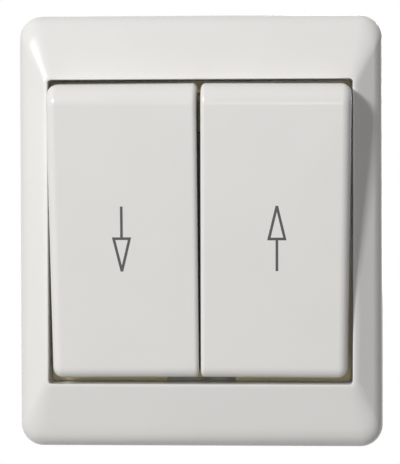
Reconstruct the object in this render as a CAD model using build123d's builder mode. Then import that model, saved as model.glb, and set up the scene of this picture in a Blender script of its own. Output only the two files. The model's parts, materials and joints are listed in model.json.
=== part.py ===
# Awning switch: a flush wall switch with two spring-return keys side by side in a square opening.
# Millimetres. +Z is up, +X is right, the front faces -Y, and the wall plane is y = 0. The origin is the
# middle of the plate on the wall plane. A depth is a distance in front of the wall, so y = -depth.
from build123d import *

import os
from math import atan2, cos, pi, radians, sin, sqrt, tan

os.makedirs("parts", exist_ok=True)

# Cover frame
opening = 69.7
opening_corner_r = 0.8
frame_side = 7.15  # frame beside the opening
frame_end = 15.15  # frame above and below the opening
frame_corner_r = 5.2
frame_edge = 7.05  # height of the outer wall, before its shoulder is rounded
frame_wall = 1.8
hollow_corner = 2.0  # cut across each corner of the hollow, to keep the wall even there
hollow_edge_drop = 1.8  # shoulder of the hollow, behind the frame's own
hollow_top_drop = 2.9  # top of the hollow, behind the rim
frame_rib = 1.2  # stiffening rib in the hollow above and below the opening
shoulder_r = 5.0
shoulder_steps = 6  # ruled strips that follow the shoulder's rounding
rim_depth = 11.0
rim_land = 0.8  # flat round the opening
rim_chamfer = 0.15
skirt_wall = 1.6
ledge_depth = 3.1  # front of the ledge that the carrier clamps
ledge_thickness = 1.4
ledge_width = 1.0

# Wall plate
bridge_corner = 8.0
bridge_thickness = 1.2
box_screw_spacing = 60.0
box_slot_width = 4.2
box_slot_length = 8.0
box_slot_margin = 1.0  # plate left outside each slot
box_screw_room = 9.0  # square clearance in the carrier round each wall box screw
tab_x = 15.0
tab_width = 6.0
tab_hook = 1.5  # how far a tab reaches over the mechanism cover
tab_play = 0.1

# Key carrier
carrier_play = 0.3
carrier_flange = 1.3
carrier_floor = 1.4
carrier_corner = 0.6
tray_wall = 1.4
pry_notch_width = 16.0
pry_notch_depth = 0.7
window_play = 0.5  # round the mechanism's flange
carrier_screw_r = 1.5
carrier_screw_head_r = 2.5
carrier_screw_head = 1.2
carrier_screw_length = 7.0
screw_play = 0.05
screw_slot = 0.8

# Keys and their hinges
rest_tilt = 5.5  # degrees that a key's face leans out at the top
key_travel = 4.5  # degrees from rest to fully pressed
key_skew = 0.25  # degrees that each key stands askew on its hinge, outwards at the top
key_flare = 0.4  # degrees that a key widens towards its top, on its outer side
hinge_depth = 5.9
key_face = 7.8  # face of the key, out from the hinge axis
key_skin = 1.8
key_wall = 1.5
key_gap = 0.5  # between the keys at the hinge
key_side_gap = 1.1  # between key and frame at the hinge
key_top_gap = 0.75
key_bottom_gap = 2.1
key_top_r = 4.5
key_bottom_r = 2.6
key_outer_r = 2.2
key_inner_r = 1.0
heel_play = 0.1  # heel of the key above the carrier at rest
press_clearance = 0.4  # top wall of the key above the carrier when pressed
key_rib = 1.0
key_rib_height = 1.3
key_rib_spread = 6.0
ear_spread = 10.0  # each ear from the middle of its key
ear_thickness = 2.0
ear_r = 2.6
ear_margin = 0.2  # between the ears and the carrier's window
hinge_play = 0.25
web_thickness = 1.6
trunnion_r = 1.4
trunnion_clearance = 0.05

# Plungers
contact_x = 10.0
plunger_z = 2.0
plunger_width = 6.0
plunger_height = 5.0
plunger_chamfer = 0.6
collar_rim = 1.0
collar_thickness = 1.2
collar_play = 0.1
nose_size = 3.0
guide_play = 0.15
plunger_play = 0.1  # between a key's pusher and its plunger at rest
pusher_r = 1.5
pusher_width = 4.0
pusher_drop = 0.5  # centre of the pusher's round tip, behind the hinge axis

# Mechanism housing and cover
housing_size = 43.0
corner_room = 2.9  # between the outer clamps and the housing's cut corners
housing_wall = 1.8
housing_floor = 2.0
housing_flange = 1.2
flange_rim = 1.2
flange_corner = 1.5
bridge_play = 0.2
cover_thickness = 1.5
chimney_wall = 1.4
chimney_height = 0.3
divider = 1.6
divider_foot = 9.0  # lower end of the dividing wall, below the middle

# Contacts and terminals, with distances behind the wall plane
strip = 0.8
strip_front = 5.2
leaf = 0.4
leaf_width = 6.0
leaf_root_height = 6.0
leaf_root_inset = 4.7  # middle of the leaf's root above the housing's lower wall
leaf_set = 1.4  # how far the leaf's free end stands behind its root
leaf_bend_z = 4.5
leaf_end_z = 10.0
tip_z = 7.5
tip_size = 2.8
tip_height = 0.65
tip_play = 0.05
link_run_width = 3.0
link_drop_x = 5.5
link_drop_width = 2.0
lug_width = 2.4  # moulded lugs that hold the leaves' roots, staked over at their ends
lug_height = 2.0
lug_play = 0.05
stake_rim = 0.7
stake_head = 0.6
line_offset = 1.5  # line terminal, to the left of the middle
tongue_width = 5.0
clamp_gap = 1.85  # between a contact strip and its clamp
clamp_length = 6.0
clamp_wall = 0.9
clamp_base = 1.0
clamp_bridge = 1.2
clamp_play = 0.1
wire_room = 3.4
wire_gap = 2.0  # between a clamp and the housing's back
clamp_screw_r = 1.5
clamp_screw_tip = 0.8
clamp_screw_head_r = 2.4
clamp_screw_head = 1.6
wire_window_width = 5.5
wire_window_height = 5.2
driver_window = 6.0
contact_boss_foot = 5.0

# Worked out from the sizes above
frame_width = opening + 2 * frame_side
frame_height = opening + 2 * frame_end
frame_inside = (frame_width - 2 * frame_wall, frame_height - 2 * frame_wall)
rim_corner_r = opening_corner_r + rim_land
side_flank = frame_side - rim_land
end_flank = frame_end - rim_land
skirt_size = opening + 2 * skirt_wall
ledge_opening = opening - 2 * ledge_width
flange_size = housing_size + 2 * flange_rim
flange_front = bridge_thickness + housing_flange
cover_front = flange_front + cover_thickness
bridge_size = box_screw_spacing + box_slot_length + 2 * box_slot_margin
tab_foot = flange_size / 2 + tab_play
tab_back = tab_foot + bridge_thickness
tab_front = cover_front + tab_play + bridge_thickness
tab_length = tab_front - bridge_thickness + tab_play + tab_hook
carrier_size = opening - 2 * carrier_play
carrier_front = ledge_depth + carrier_flange
tray_size = ledge_opening - 2 * carrier_play
tray_inside = tray_size - 2 * tray_wall
floor_front = bridge_thickness + carrier_floor
window_size = flange_size + 2 * window_play
carrier_screw_spacing = (window_size + tray_inside) / 2

hinge_z = -(window_size / 2 + ear_margin + ear_r)
hinge_inset = opening / 2 + hinge_z
tilt_sin = sin(radians(rest_tilt))
tilt_cos = cos(radians(rest_tilt))
pressed_sin = sin(radians(rest_tilt - key_travel))
pressed_cos = cos(radians(rest_tilt - key_travel))
key_bottom = key_bottom_gap - hinge_inset
key_top = opening - hinge_inset - key_top_gap
key_heel = (carrier_front + heel_play - hinge_depth - key_bottom * tilt_sin) / tilt_cos
key_end = (carrier_front + press_clearance - hinge_depth - key_top * pressed_sin) / pressed_cos
key_width = opening / 2 - key_side_gap - key_gap / 2
key_middle = (key_gap + key_width) / 2
underside = key_face - key_skin
pusher_v = plunger_z - hinge_z
plunger_front = hinge_depth + pusher_v * tilt_sin - pusher_drop * tilt_cos - pusher_r - plunger_play
plunger_travel = pusher_v * (tilt_sin - pressed_sin) - pusher_drop * (tilt_cos - pressed_cos)

leaf_front = strip_front + strip
leaf_free = leaf_front + leaf_set
moving_tip_front = leaf_free - tip_height
moving_tip_back = leaf_free + leaf + tip_height
work_tip_front = moving_tip_back + plunger_travel + tip_play
work_strip_front = work_tip_front + tip_height
work_strip_back = work_strip_front + strip
clamp_front = work_strip_back + clamp_gap
clamp_middle = clamp_front + clamp_length / 2
tongue_end = clamp_front + clamp_length
housing_inside = housing_size - 2 * housing_wall
housing_floor_y = tongue_end + wire_gap
housing_depth = housing_floor_y + housing_floor
clamp_top = housing_inside / 2 - clamp_play
clamp_inside_width = tongue_width + 2 * clamp_play
clamp_width = clamp_inside_width + 2 * clamp_wall
housing_corner = housing_size - contact_x - clamp_width / 2 - clamp_top - corner_room
clamp_inside_top = clamp_top - clamp_bridge
tongue_z = clamp_inside_top - wire_room - strip
leaf_root_z = leaf_root_inset - housing_inside / 2
line_x = -line_offset

# A key's own planes at rest, from the middle of its hinge: its hinge and pusher, its askew shell and the
# shell's outer side, which leans out a little more
hinge_point = (key_middle, -hinge_depth, hinge_z)
hinge_side = Plane(hinge_point, x_dir=(0, -tilt_sin, tilt_cos), z_dir=(1, 0, 0))
key_side = hinge_side.rotated((0, key_skew, 0))
key_outer_side = hinge_side.offset(key_width / 2).rotated((0, key_skew + key_flare, 0))


def front(depth):
    """Plane parallel to the wall at this depth in front of it, seen from the front."""
    return Plane.XZ.offset(depth)


def side(x):
    """Plane across the switch at this x, with the distance behind the wall and the height as x and y."""
    return Plane.YZ.offset(x)


def octagon(size, corner, inset=0.0, mode=Mode.ADD):
    """Square with cut corners in the current sketch, drawn in by an even inset."""
    half = size / 2 - inset
    flat = half - corner + (2 - sqrt(2)) * inset
    Polygon(
        (flat, half),
        (half, flat),
        (half, -flat),
        (flat, -half),
        (-flat, -half),
        (-half, -flat),
        (-half, flat),
        (-flat, half),
        align=None,
        mode=mode,
    )


def shoulder_reach(run):
    """Length of the shoulder's rounding along wall and flank, where the flank runs in by run."""
    return shoulder_r * tan((pi / 2 - atan2(rim_depth - frame_edge, run)) / 2)


def shoulder_head(run):
    """Depth at which the shoulder's rounding meets the flank."""
    return frame_edge + shoulder_reach(run) * sin(atan2(rim_depth - frame_edge, run))


def outline_inset(depth, run):
    """Inset of the frame's outline at this depth: wall, rounded shoulder, then straight flank."""
    rise = depth - frame_edge + shoulder_reach(run)
    if rise <= 0:
        return 0.0
    if depth >= shoulder_head(run):
        return (depth - frame_edge) * run / (rim_depth - frame_edge)
    return shoulder_r - sqrt(shoulder_r**2 - rise**2)


def frame_section(depth):
    """Outline of the frame at this depth in the current sketch."""
    side_inset = outline_inset(depth, side_flank)
    end_inset = outline_inset(depth, end_flank)
    corner_r = frame_corner_r - (frame_corner_r - rim_corner_r) * side_inset / side_flank
    RectangleRounded(frame_width - 2 * side_inset, frame_height - 2 * end_inset, corner_r)


def key_section(inset, skin, heel, end):
    """Side section of a key in the current sketch, inside its walls by inset and its face by skin."""
    bottom = key_bottom + inset
    top = key_top - inset
    face = key_face - skin
    with BuildLine() as section:
        FilletPolyline(
            (bottom, heel),
            (bottom, face),
            (top, face),
            (top, end),
            radius=[key_bottom_r - inset, key_top_r - inset],
        )
        Line((top, end), (bottom, heel))
    make_face(section.edges())


def contact_pad(y, height):
    """Side section of a crowned contact pad in the current sketch, standing on a face at this y."""
    low = tip_z - tip_size / 2
    high = tip_z + tip_size / 2
    with BuildLine() as section:
        ThreePointArc((y, low), (y + height, tip_z), (y, high))
        Line((y, high), (y, low))
    make_face(section.edges())


def finish(builder, name):
    """Label a finished piece and write its file."""
    builder.part.label = name
    export_step(builder.part, f"parts/{name}.step")


# Cover frame: outer wall, lofted shoulder and flanks, a skirt round the opening and a clamping ledge
with BuildPart() as frame_hollow:
    with BuildSketch(front(0)) as hollow_foot:
        Rectangle(*frame_inside)
        chamfer(hollow_foot.vertices(), hollow_corner)
    extrude(amount=frame_edge - hollow_edge_drop)
    with BuildSketch(front(frame_edge - hollow_edge_drop)) as hollow_shoulder:
        Rectangle(*frame_inside)
        chamfer(hollow_shoulder.vertices(), hollow_corner)
    with BuildSketch(front(rim_depth - hollow_top_drop)) as hollow_top:
        Rectangle(skirt_size + frame_rib, skirt_size + frame_rib)
        chamfer(hollow_top.vertices(), hollow_corner)
    loft(ruled=True)
    with BuildSketch(front(ledge_depth - ledge_thickness)):
        Rectangle(skirt_size, skirt_size)
        with GridLocations(0, (skirt_size + frame_inside[1]) / 2, 1, 2):
            Rectangle(frame_width, frame_rib)
    extrude(amount=rim_depth, mode=Mode.SUBTRACT)

with BuildPart() as cover_frame:
    foot = frame_edge - max(shoulder_reach(side_flank), shoulder_reach(end_flank))
    head = max(shoulder_head(side_flank), shoulder_head(end_flank))
    with BuildSketch(front(0)):
        frame_section(0)
    extrude(amount=foot)
    for step in range(shoulder_steps + 1):
        depth = foot + (head - foot) * sin(pi / 2 * step / shoulder_steps)
        with BuildSketch(front(depth)):
            frame_section(depth)
    with BuildSketch(front(rim_depth)):
        frame_section(rim_depth)
    loft(ruled=True)
    with BuildSketch(front(ledge_depth)):
        RectangleRounded(opening, opening, opening_corner_r)
    extrude(amount=rim_depth - ledge_depth, mode=Mode.SUBTRACT)
    with BuildSketch(front(0)):
        Rectangle(ledge_opening, ledge_opening)
        with Locations((0, -opening / 2)):
            Rectangle(pry_notch_width, opening / 2, align=(Align.CENTER, Align.MIN))
    extrude(amount=ledge_depth, mode=Mode.SUBTRACT)
    rim = cover_frame.faces().filter_by(Axis.Y).sort_by(Axis.Y)[0]
    chamfer(rim.inner_wires()[0].edges(), rim_chamfer)
    add(frame_hollow.part, mode=Mode.SUBTRACT)
finish(cover_frame, "cover_frame")

# Right key: a moulded shell with a deep rounding along its top, hinge webs with trunnions, and a pusher
with BuildPart() as key_up:
    with BuildSketch(key_side.offset(-key_width / 2)):
        key_section(0, 0, key_heel, key_end)
    extrude(amount=2 * key_width)
    split(bisect_by=key_outer_side, keep=Keep.BOTTOM)
    fillet(key_up.faces().sort_by(Axis.X)[-1].edges().sort_by(SortBy.LENGTH)[:-1], key_outer_r)
    fillet(key_up.faces().sort_by(Axis.X)[0].edges().sort_by(SortBy.LENGTH)[:-1], key_inner_r)
    with BuildSketch(key_side.offset(key_wall - key_width / 2)):
        key_section(key_wall, key_skin, key_end - key_face, key_end - key_face)
    extrude(amount=key_width - 2 * key_wall, mode=Mode.SUBTRACT)
    rib_low = key_bottom + key_bottom_r
    rib_high = key_top - key_top_r
    for hand in (-1, 1):
        web_x = hand * (ear_spread + ear_thickness / 2 + hinge_play)
        with BuildSketch(hinge_side.offset(web_x)):
            Circle(ear_r)
            Rectangle(2 * ear_r, underside + key_skin / 2, align=(Align.CENTER, Align.MIN))
        extrude(amount=hand * web_thickness)
        with BuildSketch(hinge_side.offset(web_x)):
            Circle(trunnion_r)
        extrude(amount=-hand * (hinge_play + ear_thickness))
        with BuildSketch(key_side.offset(hand * key_rib_spread)):
            with Locations((rib_low, underside)):
                Rectangle(rib_high - rib_low, 2 * key_rib_height, align=(Align.MIN, Align.CENTER))
        extrude(amount=key_rib / 2, both=True)
    with BuildSketch(hinge_side.offset(contact_x - key_middle)):
        with Locations((pusher_v, -pusher_drop)):
            Circle(pusher_r)
            Rectangle(2 * pusher_r, underside + pusher_drop + key_skin / 2, align=(Align.CENTER, Align.MIN))
    extrude(amount=pusher_width / 2, both=True)
finish(key_up, "key_up")

# Left key: the same moulding, mirrored
with BuildPart() as key_down:
    mirror(key_up.part, about=Plane.YZ)
finish(key_down, "key_down")

# Key carrier: a tray on the wall plate, with a lip over the frame's ledge and ears for the hinges
with BuildPart() as key_carrier:
    with BuildSketch(front(bridge_thickness)):
        octagon(tray_size, carrier_corner)
    extrude(amount=carrier_front - bridge_thickness)
    with BuildSketch(front(ledge_depth)):
        octagon(carrier_size, carrier_corner)
    extrude(amount=carrier_flange)
    with BuildSketch(front(floor_front)):
        octagon(tray_inside, carrier_corner)
    extrude(amount=carrier_front - floor_front, mode=Mode.SUBTRACT)
    with BuildSketch(front(bridge_thickness)):
        Rectangle(window_size, window_size)
        with GridLocations(2 * tab_x, window_size, 2, 2):
            Rectangle(tab_width + 2 * window_play, 2 * (tab_back + window_play) - window_size)
        with GridLocations(box_screw_spacing, 0, 2, 1):
            Rectangle(box_screw_room, box_screw_room)
        with GridLocations(0, carrier_screw_spacing, 1, 2):
            Circle(carrier_screw_r + screw_play)
    extrude(amount=ledge_depth - bridge_thickness, mode=Mode.SUBTRACT)
    with BuildSketch(front(ledge_depth)):
        with Locations((0, -carrier_size / 2)):
            Rectangle(pry_notch_width, 2 * pry_notch_depth)
    extrude(amount=carrier_flange, mode=Mode.SUBTRACT)
    for key_x in (-key_middle, key_middle):
        for ear_x in (key_x - ear_spread, key_x + ear_spread):
            with BuildSketch(side(ear_x)):
                with Locations((-hinge_depth, hinge_z)):
                    Circle(ear_r)
                    Rectangle(hinge_depth - bridge_thickness, 2 * ear_r, align=(Align.MIN, Align.CENTER))
                    Circle(trunnion_r + trunnion_clearance, mode=Mode.SUBTRACT)
            extrude(amount=ear_thickness / 2, both=True)
finish(key_carrier, "key_carrier")

# Carrier screws: slotted cheese heads on the tray's floor, tapped into the wall plate
with BuildPart() as carrier_screws:
    with BuildSketch(front(floor_front)):
        with GridLocations(0, carrier_screw_spacing, 1, 2):
            Circle(carrier_screw_r)
    extrude(amount=-carrier_screw_length)
    with BuildSketch(front(floor_front)):
        with GridLocations(0, carrier_screw_spacing, 1, 2):
            Circle(carrier_screw_head_r)
            Rectangle(2 * carrier_screw_head_r, screw_slot, mode=Mode.SUBTRACT)
    extrude(amount=carrier_screw_head)
finish(carrier_screws, "carrier_screws")

# Support bridge: sheet steel plate on the wall box, slotted for its screws, with four tabs bent up
# from it over the mechanism's cover
with BuildPart() as support_bridge:
    with BuildSketch(front(0)):
        octagon(bridge_size, bridge_corner)
        octagon(housing_size, housing_corner, inset=-bridge_play, mode=Mode.SUBTRACT)
        with GridLocations(box_screw_spacing, 0, 2, 1):
            SlotOverall(box_slot_length, box_slot_width, mode=Mode.SUBTRACT)
        with GridLocations(0, carrier_screw_spacing, 1, 2):
            Circle(carrier_screw_r + screw_play, mode=Mode.SUBTRACT)
        with GridLocations(2 * tab_x, 2 * tab_back + tab_length, 2, 2):
            Rectangle(tab_width, tab_length, mode=Mode.SUBTRACT)
    extrude(amount=bridge_thickness)
    hook_end = flange_size / 2 - tab_hook
    for x in (-tab_x, tab_x):
        for up in (-1, 1):
            with BuildSketch(side(x)):
                with BuildLine():
                    Polyline(
                        (0, up * tab_foot),
                        (0, up * tab_back),
                        (-tab_front, up * tab_back),
                        (-tab_front, up * hook_end),
                        (bridge_thickness - tab_front, up * hook_end),
                        (bridge_thickness - tab_front, up * tab_foot),
                        close=True,
                    )
                make_face()
            extrude(amount=tab_width / 2, both=True)
finish(support_bridge, "support_bridge")

# Mechanism housing: a deep moulded box through the plate, with posts for the contacts and terminals
with BuildPart() as mechanism_housing:
    with BuildSketch(front(bridge_thickness)):
        octagon(flange_size, flange_corner)
    extrude(amount=housing_flange)
    with BuildSketch(front(bridge_thickness)):
        octagon(housing_size, housing_corner)
    extrude(amount=-(housing_depth + bridge_thickness))
    with BuildSketch(front(flange_front)):
        octagon(housing_size, housing_corner, inset=housing_wall)
    extrude(amount=-(housing_floor_y + flange_front), mode=Mode.SUBTRACT)
    with BuildSketch(front(-housing_floor_y)):
        divider_height = housing_inside / 2 - divider_foot
        with Locations((0, divider_foot + divider_height / 2)):
            Rectangle(divider, divider_height)
    extrude(amount=housing_floor_y - leaf_front)
    with BuildSketch(front(-housing_floor_y)):
        with Locations((-contact_x, leaf_root_z), (contact_x, leaf_root_z)):
            Rectangle(leaf_width, leaf_root_height)
    extrude(amount=housing_floor_y - leaf_front - leaf)
    with BuildSketch(front(-leaf_front - leaf)):
        with Locations((-contact_x, leaf_root_z), (contact_x, leaf_root_z)):
            Rectangle(lug_width, lug_height)
    extrude(amount=leaf + strip)
    with BuildSketch(front(-strip_front)):
        with Locations((-contact_x, leaf_root_z), (contact_x, leaf_root_z)):
            Rectangle(lug_width + 2 * stake_rim, lug_height + 2 * stake_rim)
    extrude(amount=stake_head)
    shelf = tongue_z - clamp_base - clamp_play
    with BuildSketch(front(-housing_floor_y)):
        with Locations((-contact_x, contact_boss_foot), (contact_x, contact_boss_foot)):
            Rectangle(tongue_width, shelf - contact_boss_foot, align=(Align.CENTER, Align.MIN))
    extrude(amount=housing_floor_y - work_strip_back)
    with BuildSketch(front(-housing_floor_y)):
        with Locations((line_x, -shelf)):
            Rectangle(tongue_width, housing_wall, align=(Align.CENTER, Align.MIN))
    extrude(amount=housing_floor_y - clamp_front)
    with BuildSketch(front(-housing_depth)):
        window_z = tongue_z + wire_window_height / 2
        with Locations((-contact_x, window_z), (contact_x, window_z), (line_x, -window_z)):
            Rectangle(wire_window_width, wire_window_height)
    extrude(amount=housing_floor, mode=Mode.SUBTRACT)
    with BuildSketch(Plane.XY.offset(housing_inside / 2)):
        with Locations((-contact_x, clamp_middle), (contact_x, clamp_middle)):
            Rectangle(driver_window, driver_window)
    extrude(amount=housing_wall, mode=Mode.SUBTRACT)
    with BuildSketch(Plane.XY.offset(-housing_inside / 2)):
        with Locations((line_x, clamp_middle)):
            Rectangle(driver_window, driver_window)
    extrude(amount=-housing_wall, mode=Mode.SUBTRACT)
finish(mechanism_housing, "mechanism_housing")

# Mechanism cover: a moulded lid with a short chimney that guides each plunger
with BuildPart() as mechanism_cover:
    with BuildSketch(front(flange_front)):
        octagon(flange_size, flange_corner)
    extrude(amount=cover_thickness)
    guide_width = plunger_width + 2 * guide_play
    guide_height = plunger_height + 2 * guide_play
    with BuildSketch(front(cover_front)):
        with Locations((-contact_x, plunger_z), (contact_x, plunger_z)):
            Rectangle(guide_width + 2 * chimney_wall, guide_height + 2 * chimney_wall)
    extrude(amount=chimney_height)
    with BuildSketch(front(flange_front)) as guides:
        with Locations((-contact_x, plunger_z), (contact_x, plunger_z)):
            Rectangle(guide_width, guide_height)
        chamfer(guides.vertices(), plunger_chamfer)
    extrude(amount=cover_thickness + chimney_height, mode=Mode.SUBTRACT)
finish(mechanism_cover, "mechanism_cover")

for hand, name in ((-1, "down"), (1, "up")):
    # Plunger: a stem through the cover, a collar that stops it and a nose on the contact leaf
    x = hand * contact_x
    nose_slope = leaf_set / (leaf_bend_z - leaf_root_z - leaf_root_height / 2)
    nose_low = plunger_z - nose_size / 2 - leaf_root_z - leaf_root_height / 2
    nose_end = leaf_front + nose_slope * nose_low - tip_play
    collar_front = flange_front - collar_play
    with BuildPart() as plunger:
        with BuildSketch(front(collar_front - collar_thickness)) as stem:
            with Locations((x, plunger_z)):
                Rectangle(plunger_width, plunger_height)
            chamfer(stem.vertices(), plunger_chamfer)
        extrude(amount=plunger_front - collar_front + collar_thickness)
        with BuildSketch(front(collar_front - collar_thickness)):
            with Locations((x, plunger_z)):
                Rectangle(plunger_width + 2 * collar_rim, plunger_height + 2 * collar_rim)
        extrude(amount=collar_thickness)
        with BuildSketch(front(-nose_end)):
            with Locations((x, plunger_z)):
                Rectangle(nose_size, nose_size)
        extrude(amount=nose_end + collar_front - collar_thickness)
    finish(plunger, f"plunger_{name}")

    # Contact leaf: bronze strip staked at its root, bent back to lie clear of the strips at its tip
    root_low = leaf_root_z - leaf_root_height / 2
    root_high = leaf_root_z + leaf_root_height / 2
    with BuildPart() as contact_leaf:
        with BuildSketch(side(x)):
            with BuildLine():
                Polyline(
                    (leaf_front, root_low),
                    (leaf_front, root_high),
                    (leaf_free, leaf_bend_z),
                    (leaf_free, leaf_end_z),
                    (leaf_free + leaf, leaf_end_z),
                    (leaf_free + leaf, leaf_bend_z),
                    (leaf_front + leaf, root_high),
                    (leaf_front + leaf, root_low),
                    close=True,
                )
            make_face()
        extrude(amount=leaf_width / 2, both=True)
        with BuildSketch(front(-leaf_front)):
            with Locations((x, leaf_root_z)):
                Rectangle(lug_width + 2 * lug_play, lug_height + 2 * lug_play)
        extrude(amount=-leaf, mode=Mode.SUBTRACT)
    finish(contact_leaf, f"contact_leaf_{name}")

    # Contact tip: crowned silver pads welded on both sides of the leaf
    with BuildPart() as contact_tip:
        with BuildSketch(side(x)):
            contact_pad(leaf_free, -tip_height)
            contact_pad(leaf_free + leaf, tip_height)
        extrude(amount=tip_size / 2, both=True)
    finish(contact_tip, f"contact_tip_{name}")

    # Working contact strip: brass angle, from the fixed tip up to a tongue in the terminal clamp
    with BuildPart() as contact_strip:
        with BuildSketch(side(x)):
            with BuildLine():
                Polyline(
                    (work_strip_front, contact_boss_foot),
                    (work_strip_front, tongue_z + strip),
                    (tongue_end, tongue_z + strip),
                    (tongue_end, tongue_z),
                    (work_strip_back, tongue_z),
                    (work_strip_back, contact_boss_foot),
                    close=True,
                )
            make_face()
        extrude(amount=tongue_width / 2, both=True)
    finish(contact_strip, f"{name}_contact_strip")

# Line strip: brass plate at the root of the down leaf, with a tongue back into the line terminal
with BuildPart() as line_strip:
    line_left = -contact_x - leaf_width / 2
    line_right = line_x + tongue_width / 2
    with BuildSketch(front(-leaf_front)):
        with Locations((line_left, leaf_root_z)):
            Rectangle(line_right - line_left, leaf_root_height, align=(Align.MIN, Align.CENTER))
        with Locations((-contact_x, leaf_root_z)):
            Rectangle(lug_width + 2 * lug_play, lug_height + 2 * lug_play, mode=Mode.SUBTRACT)
    extrude(amount=strip)
    with BuildSketch(front(-tongue_end)):
        with Locations((line_x, -tongue_z)):
            Rectangle(tongue_width, strip, align=(Align.CENTER, Align.MAX))
    extrude(amount=tongue_end - leaf_front)
finish(line_strip, "line_strip")

# Link strip: brass plate from the down key's rest contact across to the root of the up leaf
with BuildPart() as link_strip:
    with BuildSketch(front(-leaf_front)):
        run_left = -contact_x - link_run_width / 2
        run_right = link_drop_x + link_drop_width / 2
        foot_left = link_drop_x - link_drop_width / 2
        foot_right = contact_x + leaf_width / 2
        drop_top = tip_z + link_run_width / 2
        drop_low = leaf_root_z - leaf_root_height / 2
        with Locations((run_left, tip_z)):
            Rectangle(run_right - run_left, link_run_width, align=(Align.MIN, Align.CENTER))
        with Locations((link_drop_x, drop_low)):
            Rectangle(link_drop_width, drop_top - drop_low, align=(Align.CENTER, Align.MIN))
        with Locations((foot_left, leaf_root_z)):
            Rectangle(foot_right - foot_left, leaf_root_height, align=(Align.MIN, Align.CENTER))
        with Locations((contact_x, leaf_root_z)):
            Rectangle(lug_width + 2 * lug_play, lug_height + 2 * lug_play, mode=Mode.SUBTRACT)
    extrude(amount=strip)
finish(link_strip, "link_strip")

# Fixed tips: crowned silver pads on the rest contact and the two working contacts
with BuildPart() as fixed_tips:
    with BuildSketch(side(-contact_x)):
        contact_pad(leaf_front, moving_tip_front - leaf_front - tip_play)
        contact_pad(work_strip_front, -tip_height)
    extrude(amount=tip_size / 2, both=True)
    with BuildSketch(side(contact_x)):
        contact_pad(work_strip_front, -tip_height)
    extrude(amount=tip_size / 2, both=True)
finish(fixed_tips, "fixed_tips")

# Terminal clamps: steel boxes round the tongues, each with a screw that presses the wire on its tongue
clamp_places = (("line", line_x, -1), ("down", -contact_x, 1), ("up", contact_x, 1))
for name, x, up in clamp_places:
    with BuildPart() as terminal_clamp:
        with BuildSketch(front(-tongue_end)):
            with Locations((x, up * (tongue_z - clamp_base + clamp_top) / 2)):
                Rectangle(clamp_width, clamp_top - tongue_z + clamp_base)
            with Locations((x, up * (tongue_z + clamp_inside_top) / 2)):
                Rectangle(clamp_inside_width, clamp_inside_top - tongue_z, mode=Mode.SUBTRACT)
        extrude(amount=clamp_length)
        with BuildSketch(Plane.XY.offset(up * clamp_inside_top)):
            with Locations((x, clamp_middle)):
                Circle(clamp_screw_r + screw_play)
        extrude(amount=up * clamp_bridge, mode=Mode.SUBTRACT)
    finish(terminal_clamp, f"terminal_clamp_{name}")

with BuildPart() as terminal_screws:
    for name, x, up in clamp_places:
        with BuildSketch(Plane.XY.offset(up * (clamp_inside_top - clamp_screw_tip))):
            with Locations((x, clamp_middle)):
                Circle(clamp_screw_r)
        extrude(amount=up * (clamp_top - clamp_inside_top + clamp_screw_tip))
        with BuildSketch(Plane.XY.offset(up * clamp_top)):
            with Locations((x, clamp_middle)):
                Circle(clamp_screw_head_r)
                Rectangle(2 * clamp_screw_head_r, screw_slot, mode=Mode.SUBTRACT)
        extrude(amount=up * clamp_screw_head)
finish(terminal_screws, "terminal_screws")
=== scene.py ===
import json
from math import cos, pi, radians, sin

import bpy
from mathutils import Matrix, Vector

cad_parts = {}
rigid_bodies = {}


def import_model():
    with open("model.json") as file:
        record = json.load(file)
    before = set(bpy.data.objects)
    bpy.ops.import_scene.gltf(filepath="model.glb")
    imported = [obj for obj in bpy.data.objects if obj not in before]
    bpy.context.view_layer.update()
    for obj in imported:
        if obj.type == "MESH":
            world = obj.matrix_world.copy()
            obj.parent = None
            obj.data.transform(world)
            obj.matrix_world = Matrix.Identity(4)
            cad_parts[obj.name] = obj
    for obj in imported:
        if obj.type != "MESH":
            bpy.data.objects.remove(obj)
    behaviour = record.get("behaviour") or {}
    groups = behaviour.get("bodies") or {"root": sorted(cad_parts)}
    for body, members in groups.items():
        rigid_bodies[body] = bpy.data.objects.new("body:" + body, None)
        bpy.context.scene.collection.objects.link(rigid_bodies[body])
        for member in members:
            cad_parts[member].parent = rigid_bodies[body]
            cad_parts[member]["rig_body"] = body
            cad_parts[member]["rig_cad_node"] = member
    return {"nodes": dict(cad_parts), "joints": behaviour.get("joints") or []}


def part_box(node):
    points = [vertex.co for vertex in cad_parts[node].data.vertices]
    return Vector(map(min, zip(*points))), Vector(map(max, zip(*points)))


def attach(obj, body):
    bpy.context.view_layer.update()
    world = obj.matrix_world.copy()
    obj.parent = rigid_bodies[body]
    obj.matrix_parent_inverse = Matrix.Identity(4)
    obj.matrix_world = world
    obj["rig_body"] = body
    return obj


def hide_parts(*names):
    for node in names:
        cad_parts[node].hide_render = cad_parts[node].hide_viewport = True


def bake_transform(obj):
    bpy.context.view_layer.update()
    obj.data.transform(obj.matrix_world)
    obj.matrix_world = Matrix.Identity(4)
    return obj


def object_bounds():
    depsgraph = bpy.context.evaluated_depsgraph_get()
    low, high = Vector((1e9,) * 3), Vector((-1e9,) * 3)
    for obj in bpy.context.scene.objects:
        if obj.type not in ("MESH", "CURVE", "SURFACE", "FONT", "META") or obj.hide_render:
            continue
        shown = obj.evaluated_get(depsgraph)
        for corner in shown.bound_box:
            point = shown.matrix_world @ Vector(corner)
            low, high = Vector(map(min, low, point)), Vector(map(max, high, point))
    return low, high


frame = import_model()
cad_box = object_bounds()

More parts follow.
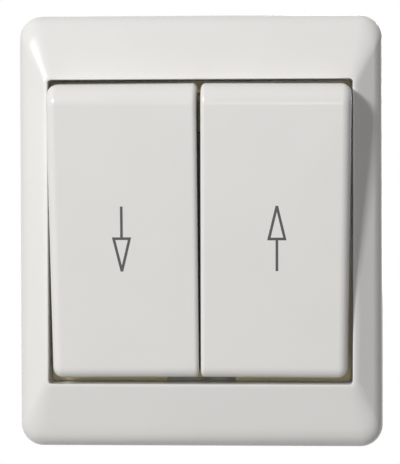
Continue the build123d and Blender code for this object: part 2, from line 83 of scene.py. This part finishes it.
# Mechanism housing and its cover: a deep box behind the wall plate and the lid that closes it, both
# moulded in pale grey glass-filled nylon. The fibres leave a matt, faintly streaked skin.
NYLON_PALE = "#C6C5BF"
NYLON_DEEP = "#B5B4AD"
NYLON_STREAK = 0.0011
NYLON_FLOW = (1, 0.2, 1)
NYLON_ROUGHNESS = (0.5, 0.65)
NYLON_GRAIN = 0.00035
NYLON_GRAIN_DEPTH = 0.00002


def linear(hex_colour):
    """Turn an sRGB hex colour into linear RGBA."""
    channels = [int(hex_colour[i:i + 2], 16) / 255 for i in (1, 3, 5)]
    return [c / 12.92 if c <= 0.04045 else ((c + 0.055) / 1.055) ** 2.4 for c in channels] + [1.0]


def add_node(tree, kind, sockets, **settings):
    """Add a node with its settings, and set or link its named input sockets."""
    node = tree.nodes.new(kind)
    for name, value in settings.items():
        setattr(node, name, value)
    for name, value in sockets.items():
        if isinstance(value, bpy.types.NodeSocket):
            tree.links.new(value, node.inputs[name])
        else:
            node.inputs[name].default_value = value
    return node


def surface(
    name, pale, deep, patch, roughness, grain, grain_depth,
    metal=False, patch_flow=(1, 1, 1), grain_flow=(1, 1, 1),
):
    """A material with soft patches of colour and gloss, and a fine grain in relief.

    Patch and grain are sizes in metres. The roughness is that of the deep and of the pale patches, and
    a flow below 1 draws a pattern out along that axis.
    """
    material = bpy.data.materials.new(name)
    material.use_nodes = True
    tree = material.node_tree
    shader = tree.nodes["Principled BSDF"]
    shader.inputs["IOR"].default_value = 1.5
    shader.inputs["Metallic"].default_value = float(metal)
    place = add_node(tree, "ShaderNodeTexCoord", {}).outputs["Object"]
    spread = add_node(tree, "ShaderNodeMapping", {"Vector": place, "Scale": patch_flow}).outputs["Vector"]
    patches = add_node(
        tree, "ShaderNodeTexNoise", {"Vector": spread, "Scale": 1 / patch, "Detail": 4.0 if metal else 3.0}
    ).outputs["Fac"]
    tint = add_node(
        tree, "ShaderNodeMix", {"Factor": patches, "A": linear(deep), "B": linear(pale)}, data_type="RGBA"
    )
    gloss = add_node(tree, "ShaderNodeMapRange", {
        "Value": patches, "From Min": 0.3, "From Max": 0.7, "To Min": roughness[0], "To Max": roughness[1],
    })
    drawn = add_node(tree, "ShaderNodeMapping", {"Vector": place, "Scale": grain_flow}).outputs["Vector"]
    grains = add_node(tree, "ShaderNodeTexNoise", {"Vector": drawn, "Scale": 1 / grain, "Detail": 2.0})
    skin = add_node(tree, "ShaderNodeBump", {"Height": grains.outputs["Fac"], "Distance": grain_depth})
    tree.links.new(tint.outputs["Result"], shader.inputs["Base Color"])
    tree.links.new(gloss.outputs["Result"], shader.inputs["Roughness"])
    tree.links.new(skin.outputs["Normal"], shader.inputs["Normal"])
    return material


def dress(material, *names):
    """Give CAD nodes their finish."""
    for name in names:
        frame["nodes"][name].material_slots[0].material = material


nylon = surface(
    "glass_filled_nylon", NYLON_PALE, NYLON_DEEP, NYLON_STREAK, NYLON_ROUGHNESS, NYLON_GRAIN,
    NYLON_GRAIN_DEPTH, patch_flow=NYLON_FLOW,
)
dress(nylon, "mechanism_housing", "mechanism_cover")

# Contact strips: brass stampings that carry the current from the terminals to the contacts. The rolling
# of the sheet leaves fine lines along it, and handling dulls it in patches.
BRASS_BRIGHT = "#D9B566"
BRASS_DULL = "#B08D4A"
BRASS_ROUGHNESS = (0.4, 0.22)
SHEET_PATCH = 0.004
ROLLING_LINE = 0.00012
ROLLING_DEPTH = 0.000004
ROLLED_ALONG_X = (0.05, 1, 1)
brass = surface(
    "rolled_brass", BRASS_BRIGHT, BRASS_DULL, SHEET_PATCH, BRASS_ROUGHNESS, ROLLING_LINE, ROLLING_DEPTH,
    metal=True, grain_flow=ROLLED_ALONG_X,
)
dress(brass, "line_strip", "link_strip", "down_contact_strip", "up_contact_strip")

# Silver tips: crowned pads of contact silver, welded to the leaves and the strips. They are bright, with
# a thin grey tarnish.
SILVER_BRIGHT = "#E6E5E1"
SILVER_TARNISH = "#C3C1BB"
SILVER_ROUGHNESS = (0.35, 0.15)
TARNISH_PATCH = 0.0008
silver = surface(
    "contact_silver", SILVER_BRIGHT, SILVER_TARNISH, TARNISH_PATCH, SILVER_ROUGHNESS, ROLLING_LINE,
    ROLLING_DEPTH, metal=True, grain_flow=ROLLED_ALONG_X,
)
dress(silver, "fixed_tips", "contact_tip_down", "contact_tip_up")

# Contact leaves: springs of rolled phosphor bronze, staked at the root, which bend under the plungers. Each
# is a copy of its CAD node, cut across into bands between a point a little above its foot and its top.
BRONZE_BRIGHT = "#CB9A6B"
BRONZE_DULL = "#A8774C"
BRONZE_ROUGHNESS = (0.4, 0.25)
ROLLED_ALONG_Z = (1, 1, 0.05)
LEAF_ROOT = 0.006
LEAF_CUTS = 12
MERGE_BELOW = 1e-6
bronze = surface(
    "phosphor_bronze", BRONZE_BRIGHT, BRONZE_DULL, SHEET_PATCH, BRONZE_ROUGHNESS, ROLLING_LINE,
    ROLLING_DEPTH, metal=True, grain_flow=ROLLED_ALONG_Z,
)


def merged_copy(node, name):
    """A copy of a CAD node with its loose triangles merged, the only object selected."""
    bpy.ops.object.select_all(action="DESELECT")
    piece = frame["nodes"][node].copy()
    piece.data = frame["nodes"][node].data.copy()
    piece.name = name
    piece.parent = None
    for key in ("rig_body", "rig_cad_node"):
        del piece[key]
    bpy.context.scene.collection.objects.link(piece)
    piece.select_set(True)
    bpy.context.view_layer.objects.active = piece
    bpy.ops.object.mode_set(mode="EDIT")
    bpy.ops.mesh.select_all(action="SELECT")
    bpy.ops.mesh.remove_doubles(threshold=MERGE_BELOW)
    bpy.ops.object.mode_set(mode="OBJECT")
    return piece


for way in ("down", "up"):
    leaf = merged_copy(f"contact_leaf_{way}", f"bronze_leaf_{way}")
    low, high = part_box(f"contact_leaf_{way}")
    root = low.z + LEAF_ROOT
    bpy.ops.object.mode_set(mode="EDIT")
    for cut in range(1, LEAF_CUTS):
        bpy.ops.mesh.select_all(action="SELECT")
        height = root + (high.z - root) * cut / LEAF_CUTS
        bpy.ops.mesh.bisect(plane_co=(0, 0, height), plane_no=(0, 0, 1))
    bpy.ops.object.mode_set(mode="OBJECT")
    leaf.material_slots[0].material = bronze
    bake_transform(leaf)
    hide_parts(f"contact_leaf_{way}")

# Terminals: zinc-plated steel box clamps round the tongues of the strips, each with a slotted screw that
# presses the wire on its tongue. The plating is passivated to a dull, cloudy, yellowish grey.
ZINC_BRIGHT = "#A9A590"
ZINC_DULL = "#7E7A68"
ZINC_ROUGHNESS = (0.6, 0.45)
ZINC_PATCH = 0.0015
zinc = surface(
    "zinc_plated_steel", ZINC_BRIGHT, ZINC_DULL, ZINC_PATCH, ZINC_ROUGHNESS, ROLLING_LINE, ROLLING_DEPTH,
    metal=True, grain_flow=ROLLED_ALONG_X,
)
dress(zinc, "terminal_clamp_line", "terminal_clamp_down", "terminal_clamp_up", "terminal_screws")

# Plungers: push pins between the keys and the leaves, moulded in dark grey acetal, which slides well
# without grease. Acetal looks waxy, with a dull shine.
ACETAL_PALE = "#565A5E"
ACETAL_DEEP = "#474A4D"
ACETAL_CLOUD = 0.003
ACETAL_ROUGHNESS = (0.35, 0.45)
ACETAL_GRAIN = 0.0004
ACETAL_GRAIN_DEPTH = 0.00001
acetal = surface(
    "grey_acetal", ACETAL_PALE, ACETAL_DEEP, ACETAL_CLOUD, ACETAL_ROUGHNESS, ACETAL_GRAIN, ACETAL_GRAIN_DEPTH
)
dress(acetal, "plunger_down", "plunger_up")

# Support bridge: a stamped steel plate, zinc plated, screwed to the wall box. Four tabs are bent up from
# it and hold the mechanism. The spangle of the plating shows as soft patches.
PLATE_BRIGHT = "#BDBCB6"
PLATE_DULL = "#8F8D85"
PLATE_ROUGHNESS = (0.7, 0.5)
SPANGLE = 0.0035
plate = surface(
    "zinc_plated_sheet", PLATE_BRIGHT, PLATE_DULL, SPANGLE, PLATE_ROUGHNESS, ROLLING_LINE, ROLLING_DEPTH,
    metal=True, grain_flow=ROLLED_ALONG_X,
)
dress(plate, "support_bridge")

# Cover frame: the visible frame round the keys, moulded in glossy ivory urea, with a slight waviness and
# faint clouds in the colour. Its copy is shaded smooth, so that the strips of the CAD node's shoulder
# read as the round shoulder of the real frame.
IVORY_PALE = "#EEEDEA"
IVORY_DEEP = "#EBE9E6"
IVORY_CLOUD = 0.014
IVORY_ROUGHNESS = (0.2, 0.26)
IVORY_WAVE = 0.0025
IVORY_WAVE_DEPTH = 0.000006
ROUNDED_BELOW = radians(40)
ivory = surface(
    "glossy_ivory_urea", IVORY_PALE, IVORY_DEEP, IVORY_CLOUD, IVORY_ROUGHNESS, IVORY_WAVE, IVORY_WAVE_DEPTH
)
cover = merged_copy("cover_frame", "ivory_cover_frame")
bpy.ops.mesh.customdata_custom_splitnormals_clear()
bpy.ops.object.shade_smooth_by_angle(angle=ROUNDED_BELOW)
bpy.ops.object.modifier_add(type="WEIGHTED_NORMAL")
cover.modifiers[-1].keep_sharp = True
bpy.ops.object.modifier_apply(modifier=cover.modifiers[-1].name)
cover.material_slots[0].material = ivory
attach(cover, "base")
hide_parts("cover_frame")

# Key carrier: the tray under the keys, which clamps the frame and holds the hinges. It is moulded in a
# duller cream polycarbonate, seen only in the gaps and from behind. Its colour is deepened towards yellow as
# a painted bounce tint, which stands in for the warm light that bounces and scatters in the ivory round the
# gaps.
# Painted bounce tint: both colours are yellower than the tray's own cream.
TRAY_PALE_BOUNCE_TINTED = "#EEDFA8"
TRAY_DEEP_BOUNCE_TINTED = "#E6D498"
TRAY_CLOUD = 0.008
TRAY_ROUGHNESS = (0.4, 0.5)
TRAY_GRAIN = 0.0005
TRAY_GRAIN_DEPTH = 0.00001
tray_plastic_bounce_tinted = surface(
    "satin_cream_polycarbonate_bounce_tinted", TRAY_PALE_BOUNCE_TINTED, TRAY_DEEP_BOUNCE_TINTED, TRAY_CLOUD, TRAY_ROUGHNESS, TRAY_GRAIN,
    TRAY_GRAIN_DEPTH,
)
dress(tray_plastic_bounce_tinted, "key_carrier")

# Carrier screws: zinc-plated machine screws with slotted cheese heads, which hold the carrier to the plate.
# Each is the CAD node's screw as far as the carrier's back, with a rolled thread on the shank beyond it.
THREAD_PITCH = 0.0005
THREAD_DEPTH = 0.00027
THREAD_START = 0.0003
SHANK_R = 0.0015
TURN_STEPS = 24
PITCH_STEPS = 6
screws = merged_copy("carrier_screws", "threaded_carrier_screws")
screws.material_slots[0].material = zinc
_, carrier_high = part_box("key_carrier")
tips = [vertex.co.copy() for vertex in screws.data.vertices if vertex.co.y > carrier_high.y]
bpy.ops.object.mode_set(mode="EDIT")
bpy.ops.mesh.select_all(action="SELECT")
bpy.ops.mesh.bisect(plane_co=carrier_high, plane_no=(0, 1, 0), clear_outer=True, use_fill=True)
bpy.ops.object.mode_set(mode="OBJECT")
for side in (-1, 1):
    ring = [tip for tip in tips if tip.z * side > 0]
    axis = sum(ring, Vector()) / len(ring)
    start = carrier_high.y - THREAD_START
    length = max(tip.y for tip in ring) - start
    bpy.ops.object.select_all(action="DESELECT")
    bpy.ops.mesh.primitive_grid_add(
        size=1, x_subdivisions=TURN_STEPS, y_subdivisions=round(PITCH_STEPS * length / THREAD_PITCH)
    )
    shank = bpy.context.object
    shank.data.materials.append(zinc)
    for vertex in shank.data.vertices:
        turn = vertex.co.x + 0.5
        along = (vertex.co.y + 0.5) * length
        crest = abs(2 * ((along / THREAD_PITCH + turn) % 1) - 1)
        point = min(1, (length - along) / THREAD_PITCH)
        radius = SHANK_R - THREAD_DEPTH * (1 - crest * point)
        angle = 2 * pi * turn
        vertex.co = (axis.x + radius * cos(angle), start + along, axis.z + radius * sin(angle))
    bpy.ops.object.mode_set(mode="EDIT")
    bpy.ops.mesh.select_all(action="SELECT")
    bpy.ops.mesh.remove_doubles(threshold=MERGE_BELOW)
    bpy.ops.mesh.fill_holes(sides=0)
    bpy.ops.mesh.select_all(action="SELECT")
    bpy.ops.mesh.normals_make_consistent(inside=False)
    bpy.ops.object.mode_set(mode="OBJECT")
    screws.select_set(True)
    bpy.context.view_layer.objects.active = screws
    bpy.ops.object.join()
bpy.ops.mesh.customdata_custom_splitnormals_clear()
bpy.ops.object.shade_smooth_by_angle(angle=ROUNDED_BELOW)
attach(screws, "base")
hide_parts("carrier_screws")

# Keys: the two rockers, moulded in the same glossy ivory as the frame. They are hollow behind, and their
# trunnions snap into the carrier's ears.
dress(ivory, "key_down", "key_up")

# Arrows: printed on the keys in dark grey, each a thin layer of ink with a stem and an outlined head. The
# print lies on the key's face and moves with it. Each arrow has its place across the key, the height of
# its head's base above the hinge, and the way it points.
INK = "#4A4A48"
INK_FADED = "#555552"
INK_CLOUD = 0.0012
INK_ROUGHNESS = (0.4, 0.5)
INK_GRAIN = 0.00015
INK_GRAIN_DEPTH = 0.000005
INK_THICKNESS = 0.00003
STROKE = 0.0006
HEAD_WIDTH = 0.00436
HEAD_LENGTH = 0.0090
TIP_CUT = 0.0012
STEM_LENGTH = 0.0070
FACE_TILT = radians(5.5)
FACE_OUT = 0.0078
ARROWS = {"down": (-0.01746, 0.0258, -1), "up": (0.01759, 0.0251, 1)}
ink = surface("grey_printing_ink", INK_FADED, INK, INK_CLOUD, INK_ROUGHNESS, INK_GRAIN, INK_GRAIN_DEPTH)
hinges = {joint["name"]: Vector(joint["pos_m"]) for joint in frame["joints"] if joint["type"] == "hinge"}
for way, (x, base, up) in ARROWS.items():
    bpy.ops.object.select_all(action="DESELECT")
    bpy.ops.mesh.primitive_circle_add(vertices=3, radius=1, fill_type="NGON")
    arrow = bpy.context.object
    arrow.name = f"arrow_{way}"
    bpy.ops.object.mode_set(mode="EDIT")
    bpy.ops.transform.resize(value=(HEAD_WIDTH / 3**0.5, HEAD_LENGTH / 1.5, 1), center_override=(0, 0, 0))
    bpy.ops.transform.translate(value=(0, HEAD_LENGTH / 3, 0))
    bpy.ops.mesh.inset(thickness=STROKE, use_even_offset=True)
    bpy.ops.mesh.delete(type="FACE")
    bpy.ops.mesh.select_all(action="SELECT")
    bpy.ops.mesh.bisect(
        plane_co=(0, HEAD_LENGTH - TIP_CUT, 0), plane_no=(0, 1, 0), clear_outer=True, use_fill=False
    )
    stem_middle = (0, -STEM_LENGTH / 2, 0)
    bpy.ops.mesh.primitive_plane_add(size=1, location=stem_middle)
    bpy.ops.transform.resize(value=(STROKE, STEM_LENGTH, 1), center_override=stem_middle)
    bpy.ops.mesh.select_all(action="SELECT")
    bpy.ops.mesh.extrude_region_move(TRANSFORM_OT_translate={"value": (0, 0, INK_THICKNESS)})
    bpy.ops.mesh.select_all(action="SELECT")
    bpy.ops.mesh.normals_make_consistent(inside=False)
    bpy.ops.object.mode_set(mode="OBJECT")
    hinge = hinges[f"key_{way}_hinge"]
    out = Vector((0, -cos(FACE_TILT), -sin(FACE_TILT)))
    along = Vector((0, -sin(FACE_TILT), cos(FACE_TILT)))
    middle = Vector((x, hinge.y, hinge.z)) + FACE_OUT * out + base * along
    turned = Matrix((Vector((up, 0, 0)), up * along, out)).transposed().to_4x4()
    arrow.data.transform(Matrix.Translation(middle) @ turned)
    arrow.data.materials.append(ink)
    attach(arrow, f"key_{way}")

# Floor: a plain pale table under the switch, painted matt. It lies well below, so that it throws little
# light up, and ends behind the switch, out of the camera's view.
FLOOR_DROP = 0.5
FLOOR_SIZE = 0.6
FLOOR_BACK = 0.12
FLOOR_COLOUR = "#F2F2F0"
FLOOR_ROUGHNESS = 0.7
low, _ = cad_box
bpy.ops.object.select_all(action="DESELECT")
bpy.ops.mesh.primitive_plane_add(size=FLOOR_SIZE)
floor = bpy.context.object
floor.name = "floor"
floor.data.transform(Matrix.Translation((0, FLOOR_BACK - FLOOR_SIZE / 2, low[2] - FLOOR_DROP)))
floor_paint = bpy.data.materials.new("pale_floor_paint")
floor_paint.use_nodes = True
paint_shader = floor_paint.node_tree.nodes["Principled BSDF"]
paint_shader.inputs["Base Color"].default_value = linear(FLOOR_COLOUR)
paint_shader.inputs["Roughness"].default_value = FLOOR_ROUGHNESS
floor.data.materials.append(floor_paint)

# Lamps: a small softbox above and to the left of the camera, which shades the flanks and throws the right
# key's shadow on the frame, a faint one beside the camera, which reaches into the gaps round the keys, and
# a large one behind. Each has its direction, distance, size and power.
LAMPS = {
    "front_softbox": (Vector((-0.50, -0.80, 0.34)), 1.2, 0.16, 10.6),
    "fill_softbox": (Vector((0.044, -1.0, 0.023)), 1.2, 0.16, 0.6),
    "back_softbox": (Vector((0.35, 0.9, 0.25)), 0.9, 0.6, 3.5),
}
for name, (direction, distance, size, power) in LAMPS.items():
    lamp_data = bpy.data.lights.new(name, "AREA")
    lamp_data.shape = "SQUARE"
    lamp_data.size = size
    lamp_data.energy = power
    lamp = bpy.data.objects.new(name, lamp_data)
    bpy.context.scene.collection.objects.link(lamp)
    lamp.location = direction * distance
    lamp.rotation_euler = direction.to_track_quat("Z", "Y").to_euler()

# World: white to the eye and in reflections, and a dimmer soft light on the surfaces, which comes mostly
# from above and fades out towards the floor.
SOFT_WAY = Vector((-0.1, -0.1, 0.99))
SOFT_LIGHT = 0.33
SOFT_END = -0.6
world = bpy.data.worlds.new("studio")
bpy.context.scene.world = world
world.use_nodes = True
tree = world.node_tree
ray = add_node(tree, "ShaderNodeLightPath", {})
seen = ray.outputs["Is Camera Ray"]
for kind in ("Is Glossy Ray", "Is Transmission Ray"):
    seen = add_node(
        tree, "ShaderNodeMath", {0: seen, 1: ray.outputs[kind]}, operation="MAXIMUM"
    ).outputs["Value"]
sky_way = add_node(tree, "ShaderNodeTexCoord", {}).outputs["Generated"]
facing = add_node(
    tree, "ShaderNodeVectorMath", {0: sky_way, 1: SOFT_WAY}, operation="DOT_PRODUCT"
).outputs["Value"]
soft = add_node(
    tree, "ShaderNodeMapRange", {"Value": facing, "From Min": SOFT_END, "To Min": 0.0, "To Max": SOFT_LIGHT}
).outputs["Result"]
strength = add_node(tree, "ShaderNodeMapRange", {"Value": seen, "To Min": soft, "To Max": 1.0})
tree.links.new(strength.outputs["Result"], tree.nodes["Background"].inputs["Strength"])
tree.nodes["Background"].inputs["Color"].default_value = (1, 1, 1, 1)

# Camera: fitted to the photograph, nearly square on, a little right of the middle and above it. Places are
# in metres, angles in radians, and the lens and its sensor in millimetres.
CAMERA_PLACE = (0.01861, -0.420, 0.00961)
CAMERA_YAW = -0.04534
CAMERA_PITCH = -0.02346
CAMERA_ROLL = -0.00227
LENS = 139.2
SENSOR_HEIGHT = 36.0
NEAREST_SEEN = 0.01
camera_data = bpy.data.cameras.new("camera")
camera_data.sensor_fit = "VERTICAL"
camera_data.sensor_height = SENSOR_HEIGHT
camera_data.lens = LENS
camera_data.clip_start = NEAREST_SEEN
camera = bpy.data.objects.new("camera", camera_data)
bpy.context.scene.collection.objects.link(camera)
camera.matrix_world = (
    Matrix.Translation(CAMERA_PLACE)
    @ Matrix.Rotation(-CAMERA_YAW, 4, "Z")
    @ Matrix.Rotation(pi / 2 + CAMERA_PITCH, 4, "X")
    @ Matrix.Rotation(CAMERA_ROLL, 4, "Z")
)
bpy.context.scene.camera = camera
bpy.context.scene.view_settings.view_transform = "Standard"
